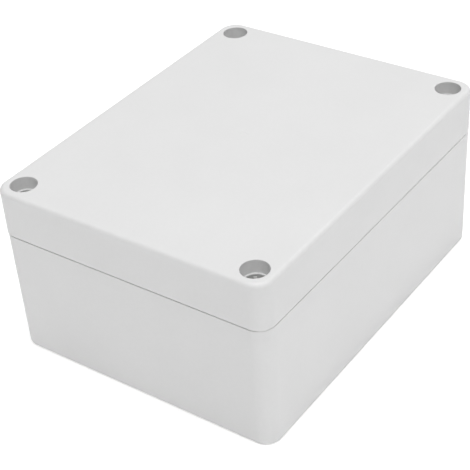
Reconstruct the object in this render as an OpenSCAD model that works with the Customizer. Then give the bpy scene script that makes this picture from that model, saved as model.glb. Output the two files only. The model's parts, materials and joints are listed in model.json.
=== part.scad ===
// Two-part moulded project box: a drafted base and a deep lid, closed by four
// recessed corner screws that run into brass inserts. The screws and the
// wall-fixing tubes stand outside the seal; a tongue on the base presses a
// gasket in the lid's groove all round the cross-shaped cavity.
// Origin: middle of the underside. X along the long side, Y across, Z up.
// All sizes in millimetres.

/* [Body] */
// Outer length, at the lid
body_l = 115.5; // [112:0.5:140]
// Outer width, at the lid
body_w = 90; // [86:0.5:110]
// Height of the base, floor to parting plane
base_h = 39.8; // [36:0.2:70]
// Height of the lid above the parting plane
lid_h = 14.8; // [14:0.2:20]
// Radius of the upright corners
corner_r = 5.3; // [5:0.1:6]
// Radius round the lid's upper edge
top_r = 1.3; // [0.6:0.1:1.6]
// Radius round the base's bottom edge
foot_r = 0.8; // [0.4:0.1:1.2]
// Draft of the base's outer walls, in degrees
base_draft = 0.5; // [0.2:0.1:0.8]
// How far the lid stands out over the base, each side
lid_step = 0.15; // [0.05:0.05:0.3]
// Open line left between lid and base
line_gap = 0.32; // [0.1:0.02:0.4]

/* [Walls] */
// Thickness of the base's floor
floor_t = 3; // [2.5:0.1:4]
// Thickness of the lid's top plate
plate_t = 3; // [2.4:0.1:3.4]
// Distance from the lid's outer face to the cavity wall
rim_t = 3.4; // [3.2:0.1:3.8]

/* [Corner screws] */
// Distance of each screw from both outer faces
screw_in = 6.35; // [6.2:0.05:6.6]
// Diameter of each recess, down to its step
recess_d = 7.75; // [7.4:0.05:8]
// Depth of the step in each recess
step_h = 4.05; // [3.4:0.05:4.3]
// Diameter of the bore below the step, round the screw head
bore_d = 6.6; // [6.5:0.1:7]
// Depth of each recess at the seat of the screw head
recess_h = 6.2; // [5.8:0.1:6.2]
// Diameter of the screw head
head_d = 6.3; // [5.6:0.1:6.3]
// Height of the screw head
head_h = 2.1; // [2:0.1:2.4]
// Outer diameter of the screw thread
screw_d = 4; // [3.8:0.1:4]
// Length of the screw under its head
screw_l = 14; // [12:1:14]

/* [Wall fixing] */
// Spacing of the wall-fixing holes along X
fix_x = 102; // [101:0.5:102]
// Spacing of the wall-fixing holes along Y
fix_y = 56; // [55:0.5:57]
// Diameter of the wall-fixing holes
fix_d = 4.6; // [4:0.1:5]
// Diameter of the screwdriver tube over each wall-fixing hole
tube_d = 8.6; // [8:0.1:8.6]

/* [Board pillars] */
// Spacing of the board pillars along X
board_x = 70; // [60:1:74]
// Spacing of the board pillars along Y
board_y = 60; // [50:1:66]
// Height of the board pillars above the floor
board_h = 8; // [5:0.5:12]
// Diameter of the pilot hole in each board pillar
board_pilot = 2.5; // [2:0.1:3]

/* [Hidden] */
$fn = 96;

shell_grey = [0.86, 0.86, 0.86];
steel_grey = [0.72, 0.73, 0.75];
brass_yellow = [0.80, 0.66, 0.36];
seal_grey = [0.20, 0.20, 0.21];
ring_white = [0.90, 0.90, 0.86];

top_z = base_h + lid_h;
sx = body_l / 2 - screw_in;            // lid screw, X
sy = body_w / 2 - screw_in;            // lid screw, Y
corners = [[-1, -1], [1, -1], [1, 1], [-1, 1]];   // front left, front right, back right, back left

// Cross-shaped cavity: two rounded rectangles that leave a block in each corner
cav_x = body_l / 2 - rim_t;            // half length of the cavity
cav_y = body_w / 2 - rim_t;            // half width of the cavity
blk_x = fix_x / 2 - 7;                 // inner face of the corner blocks, X
blk_y = fix_y / 2 - 6.9;               // inner face of the corner blocks, Y
cav_r = 2;                             // radius of the cavity's outward corners
blk_r = 4.4;                           // radius of the corner blocks

// Seal: distances outward from the cavity wall, and heights above the parting plane
tongue_a = 1.15;
tongue_b = 2.15;
tongue_h = 2;
groove_a = 0.95;
groove_b = 2.35;
groove_h = 4;
lip_b = 3.4;                           // outer face of the lip round each block
seat_z = top_z - recess_h;             // under the screw head

// Captive ring and its chamber in the lid
ring_z = base_h + 0.15;
ring_h = 1.1;
ring_ri = screw_d / 2 + 0.05;
ring_ro = 3.1;
chamber_r = 3.4;
chamber_top = seat_z - 1.9;

// Brass insert
ins_r = 2.8;
ins_h = 6;
ins_z = base_h - 0.2 - ins_h;

// ---------- flat shapes ----------

// Rounded rectangle given by its half sizes
module rrect(hx, hy, r) {
  square([2 * (hx - r), 2 * hy], center = true);
  square([2 * hx, 2 * (hy - r)], center = true);
  for (c = corners) translate([c[0] * (hx - r), c[1] * (hy - r)]) circle(r);
}

// Outline of the cavity, moved outward by d
module cross_area(d) {
  f = blk_r - d;
  rrect(cav_x + d, blk_y + d, cav_r + d);
  rrect(blk_x + d, cav_y + d, cav_r + d);
  for (c = corners) mirror([c[0] > 0 ? 0 : 1, 0]) mirror([0, c[1] > 0 ? 0 : 1])
    translate([blk_x + d, blk_y + d]) difference() {
      square(f);
      translate([f, f]) circle(f);
    }
}

// Band that follows the cavity, from a to b outside its wall
module cross_band(a, b) {
  difference() {
    cross_area(b);
    cross_area(a);
  }
}

// ---------- outer shells ----------

// Sweeps a half profile round a rectangle whose corner axes lie at +-hx, +-hy
module swept(hx, hy, z0, z1) {
  for (k = [0 : 3]) {
    c = [[1, 1], [-1, 1], [-1, -1], [1, -1]][k];
    translate([c[0] * hx, c[1] * hy, 0]) rotate(90 * k) rotate_extrude(angle = 90) children();
  }
  for (s = [0, 180]) rotate(s) translate([hx, 0, 0]) rotate([90, 0, 0])
    linear_extrude(2 * hy, center = true) children();
  for (s = [90, 270]) rotate(s) translate([hy, 0, 0]) rotate([90, 0, 0])
    linear_extrude(2 * hx, center = true) children();
  translate([-hx, -hy, z0]) cube([2 * hx, 2 * hy, z1 - z0]);
}

// Lid: upright wall, rounded upper edge, small bevel on its lower edge
module lid_profile() {
  z0 = base_h + line_gap;
  e = 0.15;
  polygon([[0, z0], [corner_r - e, z0], [corner_r, z0 + e], [corner_r, top_z - top_r],
    [corner_r - top_r, top_z - top_r], [corner_r - top_r, top_z], [0, top_z]]);
  translate([corner_r - top_r, top_z - top_r]) circle(top_r);
}

// Base: drafted wall that narrows downward, rounded foot, small bevel at the top
module base_profile() {
  t = tan(base_draft);
  rt = corner_r - lid_step;
  r0 = rt - base_h * t;
  cx = r0 + foot_r * t - foot_r / cos(base_draft);
  e = 0.12;
  polygon([[0, 0], [cx, 0], [cx, foot_r],
    [cx + foot_r * cos(base_draft), foot_r - foot_r * sin(base_draft)],
    [rt - e * t, base_h - e], [rt - e, base_h], [0, base_h]]);
  translate([cx, foot_r]) circle(foot_r);
}

// ---------- base ----------

module board_pillar() {
  rotate_extrude() difference() {
    union() {
      translate([0, -0.5]) square([3.5, board_h + 0.2]);
      translate([0, -0.5]) square([3.2, board_h + 0.5]);
      translate([3.2, board_h - 0.3]) circle(0.3);
      translate([0, -0.5]) square([4.3, 1.3]);
    }
    translate([4.3, 0.8]) circle(0.8);
  }
}

module base() {
  color(shell_grey) difference() {
    union() {
      difference() {
        swept(body_l / 2 - corner_r, body_w / 2 - corner_r, 0, base_h) base_profile();
        translate([0, 0, floor_t]) linear_extrude(base_h) cross_area(0);
      }
      translate([0, 0, base_h - 1]) linear_extrude(1 + tongue_h) cross_band(tongue_a, tongue_b);
      for (c = corners) translate([c[0] * board_x / 2, c[1] * board_y / 2, floor_t]) board_pillar();
    }
    for (c = corners) {
      // seat of the brass insert, and the clear hole under it
      translate([c[0] * sx, c[1] * sy, ins_z]) cylinder(r = ins_r, h = base_h);
      translate([c[0] * sx, c[1] * sy, ins_z - 3.8]) cylinder(r = 2.25, h = 10);
      // wall-fixing hole and the tube over it
      translate([c[0] * fix_x / 2, c[1] * fix_y / 2, -1]) cylinder(d = fix_d, h = base_h);
      translate([c[0] * fix_x / 2, c[1] * fix_y / 2, 5]) cylinder(d = tube_d, h = base_h);
      // hollow under each screw post, open at the underside
      translate([c[0] * sx, c[1] * (sy + 0.1), -1]) linear_extrude(26) rrect(3.7, 3.4, 1.4);
      // pilot hole of each board pillar
      translate([c[0] * board_x / 2, c[1] * board_y / 2, floor_t + 1]) cylinder(d = board_pilot, h = board_h);
    }
  }
}

// ---------- lid ----------

module lid() {
  color(shell_grey) difference() {
    union() {
      swept(body_l / 2 - corner_r, body_w / 2 - corner_r, base_h + line_gap, top_z) lid_profile();
      // pads that stand on the screw posts
      for (c = corners) translate([c[0] * sx, c[1] * sy, base_h]) cylinder(r = 4.3, h = 2);
    }
    // inside, straight up to the top plate
    translate([0, 0, base_h - 1]) linear_extrude(1 + lid_h - plate_t) cross_area(0);
    // seal groove
    translate([0, 0, base_h - 1]) linear_extrude(1 + groove_h) cross_band(groove_a, groove_b);
    for (c = corners) translate([c[0] * sx, c[1] * sy, 0]) {
      // stepped recess with a softened rim, shank hole, chamber for the captive ring
      translate([0, 0, seat_z]) cylinder(d = bore_d, h = recess_h);
      translate([0, 0, top_z - step_h]) cylinder(d = recess_d, h = step_h + 1);
      translate([0, 0, top_z - 0.2]) rotate_extrude() difference() {
        square([recess_d / 2 + 0.2, 1]);
        translate([recess_d / 2 + 0.2, 0]) circle(0.2);
      }
      translate([0, 0, base_h - 1]) cylinder(r = screw_d / 2 + 0.3, h = lid_h);
      translate([0, 0, base_h - 1]) cylinder(r = chamber_r, h = chamber_top - base_h + 1);
    }
    // hollow over each wall-fixing tube
    for (c = corners) translate([c[0] * (blk_x + lip_b + 3.95), c[1] * (fix_y / 2 + 0.7), base_h - 1])
      linear_extrude(1 + lid_h - plate_t) rrect(3.8, 4.3, 1.6);
    // mark of the moulding gate in the middle of the top
    translate([0, 0, top_z - 0.08]) cylinder(r = 1.15, h = 1);
  }
}

module lid_gasket() {
  color(seal_grey) translate([0, 0, base_h + tongue_h])
    linear_extrude(groove_h - tongue_h) cross_band(groove_a + 0.05, groove_b - 0.05);
}

// ---------- screws, rings and inserts ----------

// Cross-recessed cheese head screw, drawn with its head's seat at z = 0
module lid_screw() {
  r = head_d / 2;
  e = 0.25;                            // radius round the head
  color(steel_grey) difference() {
    union() {
      rotate_extrude() {
        square([r, head_h - e]);
        square([r - e, head_h]);
        translate([r - e, head_h - e]) intersection() {
          circle(e);
          square(2 * e);
        }
      }
      translate([0, 0, -screw_l + 0.5]) cylinder(d = screw_d, h = screw_l);
      translate([0, 0, -screw_l]) cylinder(d1 = screw_d - 1, d2 = screw_d, h = 0.5);
    }
    for (a = [0, 90]) rotate(a) translate([-2.2, -0.5, head_h - 1.3]) cube([4.4, 1, 3]);
    translate([0, 0, head_h - 1.7]) cylinder(r1 = 0.55, r2 = 1.25, h = 1.71);
  }
}

// Ring on the shank that keeps the screw in the lid
module captive_ring() {
  color(ring_white) rotate_extrude() polygon([[ring_ri, 0.2], [ring_ri + 0.2, 0], [ring_ro - 0.2, 0],
    [ring_ro, 0.2], [ring_ro, ring_h - 0.2], [ring_ro - 0.2, ring_h], [ring_ri + 0.2, ring_h], [ring_ri, ring_h - 0.2]]);
}

// Knurled insert: two bands with a waist between them
module insert() {
  b = screw_d / 2 + 0.05;
  color(brass_yellow) rotate_extrude() polygon([[b, 0], [ins_r - 0.3, 0], [ins_r, 0.3], [ins_r, 2.3],
    [ins_r - 0.35, 2.6], [ins_r - 0.35, 3.3], [ins_r, 3.6], [ins_r, ins_h - 0.6], [ins_r - 0.15, ins_h - 0.45],
    [ins_r - 0.15, ins_h], [b + 0.35, ins_h], [b, ins_h - 0.35]]);
}

module screw_at(i) translate([corners[i][0] * sx, corners[i][1] * sy, seat_z]) rotate([37, 64, 38, 81][i]) lid_screw();
module ring_at(i) translate([corners[i][0] * sx, corners[i][1] * sy, ring_z]) captive_ring();
module insert_at(i) translate([corners[i][0] * sx, corners[i][1] * sy, ins_z]) insert();

base();
lid();
lid_gasket();
screw_at(0);  // lid_screw_front_left
screw_at(1);  // lid_screw_front_right
screw_at(2);  // lid_screw_back_right
screw_at(3);  // lid_screw_back_left
ring_at(0);  // captive_ring_front_left
ring_at(1);  // captive_ring_front_right
ring_at(2);  // captive_ring_back_right
ring_at(3);  // captive_ring_back_left
insert_at(0);  // insert_front_left
insert_at(1);  // insert_front_right
insert_at(2);  // insert_back_right
insert_at(3);  // insert_back_left
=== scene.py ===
import bpy
import bmesh
import json
import math
from mathutils import Matrix, Vector
from mathutils.geometry import delaunay_2d_cdt


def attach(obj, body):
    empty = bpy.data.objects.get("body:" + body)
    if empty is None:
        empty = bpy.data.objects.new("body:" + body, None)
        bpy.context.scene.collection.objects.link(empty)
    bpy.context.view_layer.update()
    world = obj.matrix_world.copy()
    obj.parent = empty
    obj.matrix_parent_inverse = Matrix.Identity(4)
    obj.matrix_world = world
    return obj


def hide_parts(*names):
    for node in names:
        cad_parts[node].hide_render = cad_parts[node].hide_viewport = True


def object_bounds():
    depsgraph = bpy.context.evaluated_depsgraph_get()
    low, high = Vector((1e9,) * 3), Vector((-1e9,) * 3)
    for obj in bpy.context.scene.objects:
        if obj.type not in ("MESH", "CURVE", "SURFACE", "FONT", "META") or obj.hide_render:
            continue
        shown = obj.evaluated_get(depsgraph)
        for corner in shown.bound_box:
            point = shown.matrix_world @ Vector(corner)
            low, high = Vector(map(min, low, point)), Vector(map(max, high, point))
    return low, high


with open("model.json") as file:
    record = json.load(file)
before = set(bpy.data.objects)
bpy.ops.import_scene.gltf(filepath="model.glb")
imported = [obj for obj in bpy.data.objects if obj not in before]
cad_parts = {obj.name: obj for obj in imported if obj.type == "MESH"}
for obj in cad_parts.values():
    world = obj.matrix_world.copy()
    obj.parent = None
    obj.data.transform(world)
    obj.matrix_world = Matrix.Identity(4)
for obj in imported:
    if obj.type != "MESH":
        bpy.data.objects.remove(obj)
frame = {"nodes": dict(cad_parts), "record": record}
CAD_BOX = [list(v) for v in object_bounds()]
MM = 0.001
scene = bpy.context.scene
RECORD = frame["record"]
SLOT = {s["node"]: s["material_slot"] for s in RECORD["subparts"]}

# ------------------------------------------------------------- sizes, in mm

lo, hi = (Vector(c) / MM for c in CAD_BOX)
BODY_L, BODY_W, TOP_Z = hi.x - lo.x, hi.y - lo.y, hi.z
SPLIT_Z = 39.8                       # parting plane
GAP = 0.32                           # open line over it
CORNER_PULL = 0.22                   # how much of it closes up at the corners
CORNER_R = 5.3
TOP_R = 1.3
FOOT_R = 0.8
STEP = 0.15                          # the lid stands this far out over the base
DRAFT = math.tan(math.radians(0.5))
AX, AY = BODY_L / 2 - CORNER_R, BODY_W / 2 - CORNER_R     # axes of the upright corners
SX, SY = 51.4, 38.65                 # lid screws
FX, FY = 51.0, 28.0                  # wall-fixing holes
PX, PY = 35.0, 30.0                  # board pillars
FLOOR_T, PLATE_T = 3.0, 3.0
SEAT_Z = 48.4                        # under the screw heads
LEDGE_Z = 50.55                      # step in the recess, level with the screw heads
INS_Z = SPLIT_Z - 6.2                # foot of the brass inserts
CORNERS = [("front_left", -1, -1), ("front_right", 1, -1), ("back_right", 1, 1), ("back_left", -1, 1)]
TURN = {"front_left": 37.0, "front_right": 64.0, "back_right": 38.0, "back_left": 81.0}


# ------------------------------------------------------------ flat outlines

def arc(cx, cy, r, a0, a1, n):
    return [(cx + r * math.cos(math.radians(a0 + (a1 - a0) * i / n)),
             cy + r * math.sin(math.radians(a0 + (a1 - a0) * i / n))) for i in range(n + 1)]


def circle(cx, cy, r, n=64):
    return arc(cx, cy, r, 0, 360, n)[:-1]


def corner_rect(cx, cy, hx, hy, r, n=10):
    """Rounded rectangle whose corner axes lie at +-hx, +-hy about its middle."""
    pts = []
    for k, (a, b) in enumerate(((1, 1), (-1, 1), (-1, -1), (1, -1))):
        pts += arc(cx + a * hx, cy + b * hy, r, 90 * k, 90 * k + 90, n)
    return pts


def rrect(cx, cy, hx, hy, r, n=7):
    return corner_rect(cx, cy, hx - r, hy - r, r, n)


def cross(d, n=9):
    """Outline of the cavity, moved outward by d: two crossed rounded rectangles with filleted inner corners."""
    bx, by = 44.0, 21.1              # inner faces of the corner blocks
    wx, wy = BODY_L / 2 - 3.4, BODY_W / 2 - 3.4
    f = 4.4
    q = arc(wx - 2, by - 2, 2 + d, 0, 90, n) + arc(bx + f, by + f, f - d, 270, 180, n) \
        + arc(bx - 2, wy - 2, 2 + d, 0, 90, n)
    m = [(-x, y) for x, y in reversed(q)]
    half = q + m
    return half + [(-x, -y) for x, y in half]


def fillet(c0, c1, r, a0, a1, n):
    """Points of a profile's arc, as (distance, height)."""
    return arc(c0, c1, r, a0, a1, n)


# ------------------------------------------------------------------ meshing

class Shell:
    """Collects lofts and flat faces, in millimetres, and welds them into one closed mesh."""

    def __init__(self):
        self.v, self.f = [], []

    def add(self, pts):
        i = len(self.v)
        self.v += [tuple(p) for p in pts]
        return list(range(i, i + len(pts)))

    def loft(self, loops, closed=False):
        rows = [self.add(l) for l in loops]
        if closed:
            rows.append(rows[0])
        n = len(rows[0])
        for a, b in zip(rows, rows[1:]):
            for i in range(n):
                j = (i + 1) % n
                self.f.append((a[i], a[j], b[j], b[i]))
        return self

    def skin(self, outline, profile):
        """Lofts outline(d) along profile, a list of (d, z)."""
        return self.loft([[(x, y, z) for x, y in outline(d)] for d, z in profile])

    def turned(self, cx, cy, profile, n=64):
        return self.skin(lambda r: circle(cx, cy, r, n), profile)

    def tip(self, loop, point):
        """Closes a loop to one point."""
        a = self.add(loop)
        p = self.add([point])[0]
        for i in range(len(a)):
            self.f.append((a[i], a[(i + 1) % len(a)], p))
        return self

    def flat(self, z, loops):
        """Flat face at height z inside the first loop and outside the others."""
        verts, edges = [], []
        for l in loops:
            k = len(verts)
            verts += [Vector(p) for p in l]
            edges += [(k + i, k + (i + 1) % len(l)) for i in range(len(l))]
        out = delaunay_2d_cdt(verts, edges, [], 0, 1e-7)
        pts, tris = out[0], out[2]
        ids = self.add([(p.x, p.y, z) for p in pts])
        for t in tris:
            cx = sum(pts[i].x for i in t) / len(t)
            cy = sum(pts[i].y for i in t) / len(t)
            inside = False
            for l in loops:
                for i in range(len(l)):
                    (x0, y0), (x1, y1) = l[i], l[(i + 1) % len(l)]
                    if (y0 > cy) != (y1 > cy) and cx < x0 + (cy - y0) * (x1 - x0) / (y1 - y0):
                        inside = not inside
            if inside:
                self.f.append(tuple(ids[i] for i in t))
        return self

    def build(self, name, sharp=38.0, weighted=True):
        bm = bmesh.new()
        vs = [bm.verts.new((x * MM, y * MM, z * MM)) for x, y, z in self.v]
        for f in self.f:
            try:
                bm.faces.new([vs[i] for i in f])
            except ValueError:
                pass
        bmesh.ops.remove_doubles(bm, verts=bm.verts, dist=2e-7)
        bmesh.ops.dissolve_degenerate(bm, edges=bm.edges, dist=1e-8)
        loose = [v for v in bm.verts if not v.link_faces]
        bmesh.ops.delete(bm, geom=loose, context="VERTS")
        bmesh.ops.recalc_face_normals(bm, faces=bm.faces)
        if bm.calc_volume(signed=True) < 0:
            bmesh.ops.reverse_faces(bm, faces=bm.faces)
        open_edges = [e for e in bm.edges if len(e.link_faces) != 2]
        if open_edges:
            print("OPEN", name, len(open_edges), [tuple(round(c / MM, 3) for c in e.verts[0].co) for e in open_edges[:6]])
        for f in bm.faces:
            f.smooth = True
        for e in bm.edges:
            if len(e.link_faces) == 2 and e.calc_face_angle(0) > math.radians(sharp):
                e.smooth = False
        me = bpy.data.meshes.new(name)
        bm.to_mesh(me)
        bm.free()
        o = bpy.data.objects.new(name, me)
        scene.collection.objects.link(o)
        if weighted:
            w = o.modifiers.new("weighted", "WEIGHTED_NORMAL")
            w.mode = "FACE_AREA_WITH_ANGLE"
            w.keep_sharp = True
            w.weight = 60
        return o


# --------------------------------------------------------------------- base

def make_base():
    s = Shell()
    outer = lambda r: corner_rect(0, 0, AX, AY, r)
    rt = CORNER_R - STEP
    r0 = rt - SPLIT_Z * DRAFT
    cx = r0 + FOOT_R * DRAFT - FOOT_R / math.cos(math.radians(0.5))
    e = 0.2
    prof = fillet(cx, FOOT_R, FOOT_R, -90, -0.5, 8)
    prof += [(r0 + z * DRAFT, z) for z in (10.0, 20.0, 30.0)]
    prof += fillet(rt - e - e * DRAFT, SPLIT_Z - e, e, 0, 90, 5)
    s.skin(outer, prof)
    r_under, r_top = prof[0][0], prof[-1][0]

    # underside: wall-fixing holes, hollows under the screw posts, gate mark
    under = [outer(r_under)]
    top = [outer(r_top)]
    for _, a, b in CORNERS:
        fx, fy, px, py = a * FX, b * FY, a * SX, b * (SY + 0.1)
        under.append(circle(fx, fy, 2.55))
        p = fillet(2.55, 0.25, 0.25, -90, -180, 4) + [(2.3, 4.75)] + fillet(2.5, 4.8, 0.2, 180, 90, 3) \
            + [(4.0, 5.0)] + fillet(4.0, 5.25, 0.25, -90, 0, 4)
        p += [(4.3, SPLIT_Z - 0.3)] + fillet(4.55, SPLIT_Z - 0.25, 0.25, 180, 90, 4)
        s.turned(fx, fy, p)
        top.append(circle(fx, fy, 4.55))

        pocket = lambda g, px=px, py=py: rrect(px, py, 3.7 + g, 3.4 + g, 1.4 + g)
        p = fillet(0.25, 0.25, 0.25, -90, -180, 4) + [(-0.2, 24.2)] + fillet(-1.0, 24.2, 0.8, 0, 90, 5)
        s.skin(pocket, p)
        s.flat(25.0, [pocket(p[-1][0])])
        under.append(pocket(0.25))

        # seat of the insert, with the clear hole under it
        sx, sy = a * SX, b * SY
        p = [(2.95, SPLIT_Z), (2.8, SPLIT_Z - 0.15), (2.8, INS_Z), (2.3, INS_Z), (2.25, INS_Z - 0.1), (2.2, INS_Z - 2.9)]
        s.turned(sx, sy, p)
        s.tip([(x, y, INS_Z - 2.9) for x, y in circle(sx, sy, 2.2)], (sx, sy, INS_Z - 3.8))
        top.append(circle(sx, sy, 2.95))
    # gate mark: a shallow dished ring with the broken-off stub of the sprue
    s.skin(lambda r: circle(0, 0, r), fillet(2.4, 0.15, 0.15, -90, -180, 3) + [(2.2, 0.3), (0.7, 0.3), (0.62, 0.22), (0.55, 0.12)])
    s.flat(0.12, [circle(0, 0, 0.55)])
    under.append(circle(0, 0, 2.4))
    s.flat(0.0, under)

    # tongue
    tb, ta, th = 2.15, 1.15, SPLIT_Z + 1.65
    tongue = [(tb, SPLIT_Z), (tb - 0.03, th)] + fillet(tb - 0.38, th, 0.35, 0, 90, 5) \
        + fillet(ta + 0.38, th, 0.35, 90, 180, 5) + [(ta, SPLIT_Z)]
    # shoulder, cavity wall with its draft, fillet at the floor
    inner = fillet(0.25, SPLIT_Z - 0.25, 0.25, 90, 180, 4) + [(-0.1, 27.0), (-0.2, 15.0)] + fillet(-1.5, 4.2, 1.2, 0, -90, 7)
    s.skin(cross, tongue + inner)
    top.append(cross(tb))
    s.flat(SPLIT_Z, top)

    # floor with board pillars and ejector marks
    fl = [cross(inner[-1][0])]
    for _, a, b in CORNERS:
        x, y = a * PX, b * PY
        p = fillet(4.3, 3.8, 0.8, 270, 180, 6) + [(3.46, 8.0)] + fillet(3.14, 10.7, 0.3, 0, 90, 4) \
            + [(1.55, 11.0), (1.25, 10.7), (1.22, 4.5)]
        s.turned(x, y, p, 48)
        s.tip([(u, v, 4.5) for u, v in circle(x, y, 1.22, 48)], (x, y, 4.1))
        fl.append(circle(x, y, 4.3, 48))
    for x, y in ((-22, -34), (22, -34), (22, 34), (-22, 34), (-48, 0), (48, 0), (0, -17), (0, 17)):
        s.turned(x, y, [(2.0, 3.0), (1.97, 2.94)], 40)
        s.flat(2.94, [circle(x, y, 1.97, 40)])
        fl.append(circle(x, y, 2.0, 40))
    s.flat(FLOOR_T, fl)
    return s.build("base_shell")


# ---------------------------------------------------------------------- lid

def make_lid():
    s = Shell()
    outer = lambda r: corner_rect(0, 0, AX, AY, r)
    z0 = SPLIT_Z + GAP
    e = 0.2
    prof = fillet(CORNER_R - e, z0 + e, e, -90, 0, 5) + fillet(CORNER_R - TOP_R, TOP_Z - TOP_R, TOP_R, 0, 90, 10)
    s.skin(outer, prof)
    top = [outer(prof[-1][0])]
    face = [outer(prof[0][0])]

    for _, a, b in CORNERS:
        x, y = a * SX, b * SY
        # pad, ring chamber, shank hole, head recess
        p = [(4.3, z0), (4.22, SPLIT_Z + 0.08), (4.14, SPLIT_Z), (3.65, SPLIT_Z)] + fillet(3.65, SPLIT_Z + 0.25, 0.25, -90, -180, 3) \
            + [(3.38, 46.2)] + fillet(3.2, 46.3, 0.2, 0, 90, 3) + [(2.45, 46.5), (2.3, 46.65), (2.3, SEAT_Z - 0.1), (2.4, SEAT_Z)] \
            + fillet(3.15, SEAT_Z + 0.15, 0.15, -90, 0, 3) + [(3.3, LEDGE_Z - 0.08)] + fillet(3.38, LEDGE_Z - 0.08, 0.08, 180, 90, 3) \
            + [(3.74, LEDGE_Z), (3.8, LEDGE_Z + 0.06), (3.87, 54.3)] + fillet(4.075, TOP_Z - 0.2, 0.2, 180, 90, 5)
        s.turned(x, y, p, 72)
        face.append(circle(x, y, 4.3, 72))
        top.append(circle(x, y, 4.075, 72))
        # hollow over the wall-fixing tube
        hx, hy = a * 51.35, b * 28.7
        h = lambda g, hx=hx, hy=hy: rrect(hx, hy, 3.8 + g, 4.3 + g, 1.6 + g)
        p = fillet(0.2, z0 + 0.2, 0.2, -90, -180, 3) + [(-0.1, 50.8)] + fillet(-0.9, 50.8, 0.8, 0, 90, 5)
        s.skin(h, p)
        s.flat(51.6, [h(p[-1][0])])
        face.append(h(0.2))

    # gate mark in the middle of the top
    s.skin(lambda r: circle(0, 0, r, 48), [(1.15, TOP_Z), (1.1, TOP_Z - 0.07)])
    s.flat(TOP_Z - 0.07, [circle(0, 0, 1.1, 48)])
    top.append(circle(0, 0, 1.15, 48))
    s.flat(TOP_Z, top)

    # groove, inner lip, cavity wall and ceiling
    gb, ga, gz = 2.35, 0.95, SPLIT_Z + 4
    p = fillet(gb + 0.2, z0 + 0.2, 0.2, -90, -180, 3) + [(gb - 0.03, gz - 0.2)] + fillet(gb - 0.18, gz - 0.15, 0.15, 0, 90, 3) \
        + fillet(ga + 0.18, gz - 0.15, 0.15, 90, 180, 3) + [(ga, 41.0)] + fillet(ga - 0.25, z0 + 0.25, 0.25, 0, -90, 4) \
        + fillet(0.25, z0 + 0.25, 0.25, -90, -180, 4) + [(-0.05, 45.0)] + fillet(-1.1, 50.6, 1.0, 0, 90, 7)
    s.skin(cross, p)
    face.append(cross(gb + 0.2))
    s.flat(z0, face)
    ceil = [cross(p[-1][0])]
    for x, y in ((-30, -30), (30, -30), (30, 30), (-30, 30), (-46, 0), (46, 0)):
        s.turned(x, y, [(2.0, 51.6), (1.97, 51.66)], 40)
        s.flat(51.66, [circle(x, y, 1.97, 40)])
        ceil.append(circle(x, y, 2.0, 40))
    s.flat(TOP_Z - PLATE_T, ceil)
    # the four screws pull the lid's edge down at the corners, so the open line closes up there
    def pulled(x, y, z):
        dx, dy = abs(x) - AX, abs(y) - AY
        if z > z0 + e + 1e-6 or dx <= 0 or dy <= 0 or math.hypot(dx, dy) < CORNER_R - e - 0.01:
            return x, y, z
        return x, y, z - CORNER_PULL * math.sin(2 * math.atan2(dy, dx))

    s.v = [pulled(*q) for q in s.v]
    return s.build("lid_shell")


# ------------------------------------------------------------------- gasket

def make_gasket():
    s = Shell()
    a, b, z0, z1, r = 1.0, 2.3, SPLIT_Z + 2, SPLIT_Z + 4, 0.3
    p = fillet(b - r, z0 + r, r, -90, 0, 4) + fillet(b - r, z1 - r, r, 0, 90, 4) \
        + fillet(a + r, z1 - r, r, 90, 180, 4) + fillet(a + r, z0 + r, r, 180, 270, 4)
    s.loft([[(x, y, z) for x, y in cross(d)] for d, z in p], closed=True)
    return s.build("gasket_cord")


# -------------------------------------------------------------------- screws

PITCH = 0.7


def thread_rows(cx, cy, z0, z1, crest, root, n=48, per=8, fade=0.6, phase=0.0):
    """Rows of a right-hand helical thread between heights z0 and z1: each row climbs one pitch a turn, and is cut off square at both ends."""
    shape = [1.0, 1.0, 0.62, 0.24, 0.0, 0.0, 0.24, 0.62]
    k0 = math.floor((z0 - phase) / PITCH) - 1
    k1 = math.ceil((z1 - phase) / PITCH) + 1
    cols = []
    for j in range(n + 1):
        t = j / n
        a = 2 * math.pi * t
        col = []
        for k in range(k0 * per, k1 * per + 1):
            z = phase + PITCH * (k / per + t)
            h = shape[k % per]
            zc = min(max(z, z0), z1)
            g = max(0.0, min(1.0, (zc - z0) / fade, (z1 - zc) / fade))
            r = root + (crest - root) * h * g
            col.append((cx + r * math.cos(a), cy + r * math.sin(a), zc))
        cols.append(col)
    return cols, per


def add_thread(s, cx, cy, z0, z1, crest, root, n=48, phase=0.0, fade=0.6):
    cols, per = thread_rows(cx, cy, z0, z1, crest, root, n, 8, fade, phase)
    ids = [s.add(c) for c in cols[:-1]]
    rows = len(cols[0])
    for j in range(n):
        for k in range(rows - 1):
            if j < n - 1:
                q = (ids[j][k], ids[j + 1][k], ids[j + 1][k + 1], ids[j][k + 1])
            else:
                # the last column meets the first one pitch further up
                if k + 1 + per >= rows:
                    continue
                q = (ids[j][k], ids[0][k + per], ids[0][k + 1 + per], ids[j][k + 1])
            zs = [s.v[i][2] for i in q]
            if max(zs) - min(zs) < 1e-9 and (zs[0] <= z0 + 1e-9 or zs[0] >= z1 - 1e-9):
                continue
            s.f.append(q)


def recess_outline(l, w, c, r=1.0):
    pts = []
    for k in range(4):
        ca, sa = math.cos(k * math.pi / 2), math.sin(k * math.pi / 2)
        for x, y in ((l - 0.16, -w), (l - 0.02, -w * 0.62), (l, 0), (l - 0.02, w * 0.62), (l - 0.16, w),
                     (w + c, w), (w + c * 0.42, w + c * 0.42), (w, w + c)):
            pts.append((x * ca - y * sa, x * sa + y * ca))
    return pts


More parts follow.
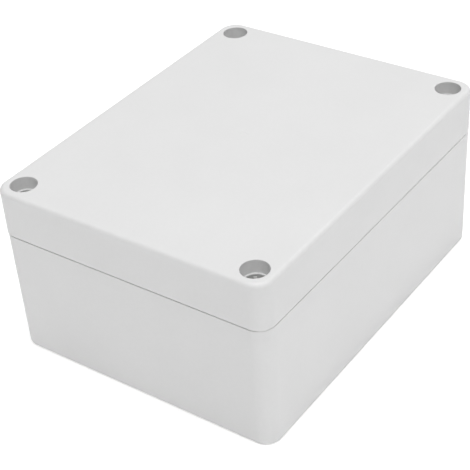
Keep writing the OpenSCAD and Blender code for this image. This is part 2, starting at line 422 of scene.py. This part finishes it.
def make_screw(name, a, b):
    cx, cy = a * SX, b * SY
    rot = math.radians(TURN[name])
    s = Shell()
    z = SEAT_Z
    n = 48
    # tip, thread, plain neck
    s.flat(z - 14.0, [circle(cx, cy, 1.25, n)])
    s.turned(cx, cy, [(1.25, z - 14.0), (1.57, z - 13.7)], n)
    add_thread(s, cx, cy, z - 13.7, z - 1.0, 1.99, 1.57, n)
    s.turned(cx, cy, [(1.57, z - 1.0), (1.72, z - 0.8), (1.72, z - 0.35)]
             + fillet(1.97, z - 0.25, 0.25, 180, 90, 4) + [(2.95, z)] + fillet(2.95, z + 0.2, 0.2, -90, 0, 4)
             + fillet(2.85, z + HEAD_H - 0.25, 0.25, 3, 90, 6), n)
    # cross recess
    def out(l, w, c, h):
        m = []
        for x, y in recess_outline(l, w, c):
            m.append((cx + x * math.cos(rot) - y * math.sin(rot), cy + x * math.sin(rot) + y * math.cos(rot), z + h))
        return m
    levels = [out(2.26, 0.60, 0.50, HEAD_H), out(2.20, 0.545, 0.45, HEAD_H - 0.06), out(1.65, 0.48, 0.36, HEAD_H - 0.95),
              out(0.95, 0.40, 0.22, HEAD_H - 1.65)]
    s.loft(levels)
    s.tip(levels[-1], (cx, cy, z + HEAD_H - 1.9))
    s.flat(z + HEAD_H, [circle(cx, cy, 2.85, n), [(x, y) for x, y, _ in levels[0]]])
    return s.build("screw_" + name, sharp=32)


HEAD_H = 2.1


def make_ring(name, a, b):
    cx, cy = a * SX, b * SY
    s = Shell()
    z0, z1, ri, ro, r = SPLIT_Z + 0.15, SPLIT_Z + 1.25, 2.05, 3.1, 0.2
    p = fillet(ro - r, z0 + r, r, -90, 0, 4) + fillet(ro - r, z1 - r, r, 0, 90, 4) \
        + fillet(ri + r, z1 - r, r, 90, 180, 4) + fillet(ri + r, z0 + r, r, 180, 270, 4)
    s.loft([[(x, y, z) for x, y in circle(cx, cy, d, 64)] for d, z in p], closed=True)
    return s.build("ring_" + name)


def make_insert(name, a, b):
    cx, cy = a * SX, b * SY
    s = Shell()
    z = INS_Z
    ro, n, teeth = 2.8, 120, 30

    def band(r, knurl):
        pts = []
        for i in range(n):
            t = 2 * math.pi * i / n
            d = 0.0 if not knurl else (0.0, 0.04, 0.15, 0.04)[i % 4]
            pts.append((cx + (r - d) * math.cos(t), cy + (r - d) * math.sin(t)))
        return pts
    rows = [(2.5, 0.0, 0), (2.62, 0.12, 0), (ro - 0.16, 0.25, 0), (ro, 0.4, 1), (ro, 2.2, 1), (ro - 0.16, 2.35, 0), (2.45, 2.6, 0),
            (2.45, 3.3, 0), (ro - 0.16, 3.55, 0), (ro, 3.7, 1), (ro, 5.3, 1), (ro - 0.16, 5.45, 0), (2.62, 5.55, 0), (2.62, 5.9, 0), (2.52, 6.0, 0)]
    s.loft([[(x, y, z + h) for x, y in band(r, k)] for r, h, k in rows])
    n2 = 48
    s.flat(z, [band(2.5, 0), circle(cx, cy, 2.35, n2)])
    s.flat(z + 6.0, [band(2.52, 0), circle(cx, cy, 2.35, n2)])
    s.turned(cx, cy, [(2.35, z), (2.1, z + 0.25)], n2)
    s.turned(cx, cy, [(2.1, z + 5.75), (2.35, z + 6.0)], n2)
    add_thread(s, cx, cy, z + 0.25, z + 5.75, 2.32, 2.1, n2, phase=PITCH * 0.5, fade=0.4)
    return s.build("threaded_insert_" + name, sharp=45, weighted=False)


# ---------------------------------------------------------------- materials

def new_material(name):
    m = bpy.data.materials.new(name)
    m.use_nodes = True
    nt = m.node_tree
    nt.nodes.clear()
    out = nt.nodes.new("ShaderNodeOutputMaterial")
    bsdf = nt.nodes.new("ShaderNodeBsdfPrincipled")
    nt.links.new(bsdf.outputs["BSDF"], out.inputs["Surface"])
    return m, nt, bsdf


def coords(nt):
    return nt.nodes.new("ShaderNodeTexCoord").outputs["Object"]


def noise(nt, vec, scale, detail=3.0, rough=0.5):
    n = nt.nodes.new("ShaderNodeTexNoise")
    n.inputs["Scale"].default_value = scale
    n.inputs["Detail"].default_value = detail
    n.inputs["Roughness"].default_value = rough
    nt.links.new(vec, n.inputs["Vector"])
    return n.outputs["Fac"]


def ramp(nt, fac, stops):
    r = nt.nodes.new("ShaderNodeValToRGB")
    el = r.color_ramp.elements
    while len(el) < len(stops):
        el.new(0.5)
    for e, (p, c) in zip(el, stops):
        e.position = p
        e.color = (c[0], c[1], c[2], 1) if hasattr(c, "__len__") else (c, c, c, 1)
    nt.links.new(fac, r.inputs["Fac"])
    return r.outputs["Color"]


def bump(nt, height, strength, distance, normal=None):
    b = nt.nodes.new("ShaderNodeBump")
    b.inputs["Strength"].default_value = strength
    b.inputs["Distance"].default_value = distance
    nt.links.new(height, b.inputs["Height"])
    if normal is not None:
        nt.links.new(normal, b.inputs["Normal"])
    return b.outputs["Normal"]


def mapped(nt, fac, lo, hi, to_lo, to_hi):
    m = nt.nodes.new("ShaderNodeMapRange")
    m.inputs["From Min"].default_value = lo
    m.inputs["From Max"].default_value = hi
    m.inputs["To Min"].default_value = to_lo
    m.inputs["To Max"].default_value = to_hi
    nt.links.new(fac, m.inputs["Value"])
    return m.outputs["Result"]


def calc(nt, op, a, b):
    n = nt.nodes.new("ShaderNodeMath")
    n.operation = op
    for sock, v in zip(n.inputs, (a, b)):
        if isinstance(v, float):
            sock.default_value = v
        else:
            nt.links.new(v, sock)
    return n.outputs[0]


def specks(nt, vec, scale, radius, share, offset):
    """Small round flecks: 1 inside a fleck, 0 elsewhere; only a share of the cells hold one."""
    shift = nt.nodes.new("ShaderNodeVectorMath")
    shift.operation = "ADD"
    shift.inputs[1].default_value = offset
    nt.links.new(vec, shift.inputs[0])
    v = nt.nodes.new("ShaderNodeTexVoronoi")
    v.inputs["Scale"].default_value = scale
    v.inputs["Randomness"].default_value = 1.0
    nt.links.new(shift.outputs[0], v.inputs["Vector"])
    dot = mapped(nt, v.outputs["Distance"], radius * scale * 0.6, radius * scale, 1.0, 0.0)
    sep = nt.nodes.new("ShaderNodeSeparateColor")
    nt.links.new(v.outputs["Color"], sep.inputs["Color"])
    pick = calc(nt, "LESS_THAN", sep.outputs["Red"], share)
    return calc(nt, "MULTIPLY", dot, pick)


def abs_plastic(name, shade):
    """Light grey moulded ABS: a fine spark-eroded grain, faint cloudiness, rare flecks, a soft satin sheen."""
    m, nt, bsdf = new_material(name)
    vec = coords(nt)
    cloud = noise(nt, vec, 45.0, 4.0, 0.55)
    mid = noise(nt, vec, 900.0, 3.0, 0.5)
    fine = noise(nt, vec, 5200.0, 2.0, 0.6)
    # shade: slow clouds, a fine mottle from the grain, a few dark and a few pale flecks
    tone = calc(nt, "ADD", mapped(nt, cloud, 0.3, 0.7, 0.985, 1.008), mapped(nt, mid, 0.25, 0.75, -0.010, 0.010))
    dark = specks(nt, vec, 210.0, 0.00016, 0.022, (0.013, 0.021, 0.007))
    pale = specks(nt, vec, 240.0, 0.00022, 0.03, (0.031, 0.005, 0.017))
    tone = calc(nt, "SUBTRACT", tone, calc(nt, "MULTIPLY", dark, 0.30))
    tone = calc(nt, "ADD", tone, calc(nt, "MULTIPLY", pale, 0.05))
    col = nt.nodes.new("ShaderNodeCombineColor")
    for sock, c in zip(("Red", "Green", "Blue"), shade):
        nt.links.new(calc(nt, "MULTIPLY", tone, c), col.inputs[sock])
    nt.links.new(col.outputs["Color"], bsdf.inputs["Base Color"])
    n1 = bump(nt, fine, 0.10, 0.00003)
    n2 = bump(nt, mid, 0.05, 0.00010, n1)
    nt.links.new(n2, bsdf.inputs["Normal"])
    nt.links.new(mapped(nt, mid, 0.3, 0.7, 0.44, 0.52), bsdf.inputs["Roughness"])
    bsdf.inputs["IOR"].default_value = 1.52
    bsdf.inputs["Specular IOR Level"].default_value = 0.5
    return m


def stainless(name):
    m, nt, bsdf = new_material(name)
    vec = coords(nt)
    n = noise(nt, vec, 1500.0, 3.0, 0.6)
    col = ramp(nt, n, [(0.3, (0.52, 0.52, 0.51)), (0.7, (0.58, 0.58, 0.57))])
    nt.links.new(col, bsdf.inputs["Base Color"])
    bsdf.inputs["Metallic"].default_value = 1.0
    rr = ramp(nt, n, [(0.3, 0.16), (0.7, 0.26)])
    nt.links.new(rr, bsdf.inputs["Roughness"])
    nt.links.new(bump(nt, n, 0.12, 0.00003), bsdf.inputs["Normal"])
    return m


def brass(name):
    m, nt, bsdf = new_material(name)
    vec = coords(nt)
    n = noise(nt, vec, 900.0, 3.0, 0.6)
    col = ramp(nt, n, [(0.3, (0.66, 0.47, 0.20)), (0.7, (0.78, 0.58, 0.28))])
    nt.links.new(col, bsdf.inputs["Base Color"])
    bsdf.inputs["Metallic"].default_value = 1.0
    nt.links.new(ramp(nt, n, [(0.3, 0.26), (0.7, 0.38)]), bsdf.inputs["Roughness"])
    nt.links.new(bump(nt, n, 0.1, 0.00003), bsdf.inputs["Normal"])
    return m


def rubber(name):
    m, nt, bsdf = new_material(name)
    vec = coords(nt)
    n = noise(nt, vec, 1400.0, 4.0, 0.65)
    nt.links.new(ramp(nt, n, [(0.3, 0.018), (0.7, 0.034)]), bsdf.inputs["Base Color"])
    nt.links.new(ramp(nt, n, [(0.3, 0.72), (0.7, 0.88)]), bsdf.inputs["Roughness"])
    nt.links.new(bump(nt, n, 0.35, 0.00008), bsdf.inputs["Normal"])
    return m


def nylon(name):
    m, nt, bsdf = new_material(name)
    vec = coords(nt)
    n = noise(nt, vec, 1200.0, 3.0, 0.5)
    nt.links.new(ramp(nt, n, [(0.3, (0.70, 0.69, 0.64)), (0.7, (0.76, 0.75, 0.70))]), bsdf.inputs["Base Color"])
    nt.links.new(ramp(nt, n, [(0.3, 0.38), (0.7, 0.5)]), bsdf.inputs["Roughness"])
    nt.links.new(bump(nt, n, 0.1, 0.00004), bsdf.inputs["Normal"])
    return m


GREY = (0.66, 0.66, 0.66)
MATS = {
    "base_plastic": abs_plastic("base_plastic", GREY),
    "lid_plastic": abs_plastic("lid_plastic", GREY),
    "seal_rubber": rubber("seal_rubber"),
    "screw_steel": stainless("screw_steel"),
    "ring_nylon": nylon("ring_nylon"),
    "insert_brass": brass("insert_brass"),
}


# ------------------------------------------------------------------- pieces

def stand_in(obj, node, body):
    slot = SLOT[node]
    obj.data.materials.clear()
    obj.data.materials.append(MATS[slot])
    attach(obj, body)
    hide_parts(node)
    return obj


for name, obj in frame["nodes"].items():
    obj.data.materials.clear()
    obj.data.materials.append(MATS[SLOT[name]])

stand_in(make_base(), "base", "base")
stand_in(make_lid(), "lid", "lid")
stand_in(make_gasket(), "lid_gasket", "lid")
for name, a, b in CORNERS:
    stand_in(make_screw(name, a, b), "lid_screw_" + name, "screw_" + name)
    stand_in(make_ring(name, a, b), "captive_ring_" + name, "ring_" + name)
    stand_in(make_insert(name, a, b), "insert_" + name, "base")


# -------------------------------------------------------------------- floor

def add_floor():
    me = bpy.data.meshes.new("floor")
    s = 3.0
    me.from_pydata([(-s, -s, 0), (s, -s, 0), (s, s, 0), (-s, s, 0)], [], [(0, 1, 2, 3)])
    o = bpy.data.objects.new("floor", me)
    scene.collection.objects.link(o)
    o.location.z = -0.00002
    m, nt, bsdf = new_material("floor_paper")
    bsdf.inputs["Base Color"].default_value = (0.92, 0.92, 0.92, 1)
    bsdf.inputs["Roughness"].default_value = 0.9
    bsdf.inputs["Specular IOR Level"].default_value = 0.1
    bsdf.inputs["Emission Color"].default_value = (1, 1, 1, 1)
    bsdf.inputs["Emission Strength"].default_value = 0.146
    # seen from above only, and open to the glow from below where something stands on it
    geo = nt.nodes.new("ShaderNodeNewGeometry")
    path = nt.nodes.new("ShaderNodeLightPath")
    close = nt.nodes.new("ShaderNodeMath")
    close.operation = "LESS_THAN"
    nt.links.new(path.outputs["Ray Length"], close.inputs[0])
    close.inputs[1].default_value = 0.0001
    gone = nt.nodes.new("ShaderNodeMath")
    gone.operation = "MAXIMUM"
    nt.links.new(geo.outputs["Backfacing"], gone.inputs[0])
    nt.links.new(close.outputs[0], gone.inputs[1])
    mix = nt.nodes.new("ShaderNodeMixShader")
    nt.links.new(gone.outputs[0], mix.inputs[0])
    nt.links.new(bsdf.outputs["BSDF"], mix.inputs[1])
    nt.links.new(nt.nodes.new("ShaderNodeBsdfTransparent").outputs[0], mix.inputs[2])
    out = next(n for n in nt.nodes if n.type == "OUTPUT_MATERIAL")
    nt.links.new(mix.outputs[0], out.inputs["Surface"])
    me.materials.append(m)
    return o


add_floor()

# -------------------------------------------------------------------- light
# A soft white studio all round: each glow is a direction, how tight it is and how bright.

GLOWS = [((0.0, 0.0, 1.0), 12.0, 4.229), ((0.0, 0.0, 1.0), 2.0, 0.384),
         ((-0.30, -0.23, 0.92), 16.0, 0.855), ((-0.51, -0.39, 0.77), 6.0, 0.674),
         ((-0.87, 0.0, 0.5), 6.0, 0.301), ((0.0, -0.87, 0.5), 6.0, 0.539), ((0.87, 0.0, 0.5), 6.0, 0.838),
         ((0.0, 0.0, -1.0), 1.0, 1.1)]
BACKDROP = 1.3                         # white, where the camera looks past the floor

world = bpy.data.worlds.new("studio")
scene.world = world
world.use_nodes = True
wn = world.node_tree
wn.nodes.clear()
wo = wn.nodes.new("ShaderNodeOutputWorld")
wb = wn.nodes.new("ShaderNodeBackground")
wb.inputs["Color"].default_value = (1, 1, 1, 1)
wn.links.new(wb.outputs["Background"], wo.inputs["Surface"])
look = wn.nodes.new("ShaderNodeTexCoord").outputs["Generated"]


def math_node(op, a, b):
    n = wn.nodes.new("ShaderNodeMath")
    n.operation = op
    for sock, v in zip(n.inputs, (a, b)):
        if isinstance(v, float):
            sock.default_value = v
        else:
            wn.links.new(v, sock)
    return n.outputs[0]


total = 0.0
for axis, power, gain in GLOWS:
    dot = wn.nodes.new("ShaderNodeVectorMath")
    dot.operation = "DOT_PRODUCT"
    dot.inputs[1].default_value = Vector(axis).normalized()
    wn.links.new(look, dot.inputs[0])
    glow = math_node("MULTIPLY", math_node("POWER", math_node("MAXIMUM", dot.outputs["Value"], 0.0), power), gain)
    total = math_node("ADD", total, glow)
seen = wn.nodes.new("ShaderNodeLightPath").outputs["Is Camera Ray"]
wn.links.new(math_node("MAXIMUM", total, math_node("MULTIPLY", seen, BACKDROP)), wb.inputs["Strength"])

# ------------------------------------------------------------------- camera

cam = bpy.data.cameras.new("camera")
cam.sensor_width = 36.0
cam.sensor_fit = "HORIZONTAL"
cam.lens = 100.9232
cam.clip_start = 0.01
cam.clip_end = 20
co = bpy.data.objects.new("camera", cam)
scene.collection.objects.link(co)
right = Vector((0.569387, -0.819664, -0.062843))
down = Vector((-0.507212, -0.290121, -0.811521))
fwd = Vector((0.646942, 0.493944, -0.580934))
co.matrix_world = Matrix((
    (right.x, -down.x, -fwd.x, -0.260981),
    (right.y, -down.y, -fwd.y, -0.1933127),
    (right.z, -down.z, -fwd.z, 0.2512085),
    (0, 0, 0, 1)))
scene.camera = co
scene.view_settings.view_transform = "Standard"
scene.view_settings.look = "None"
scene.view_settings.exposure = 0.0
scene.view_settings.gamma = 1.0
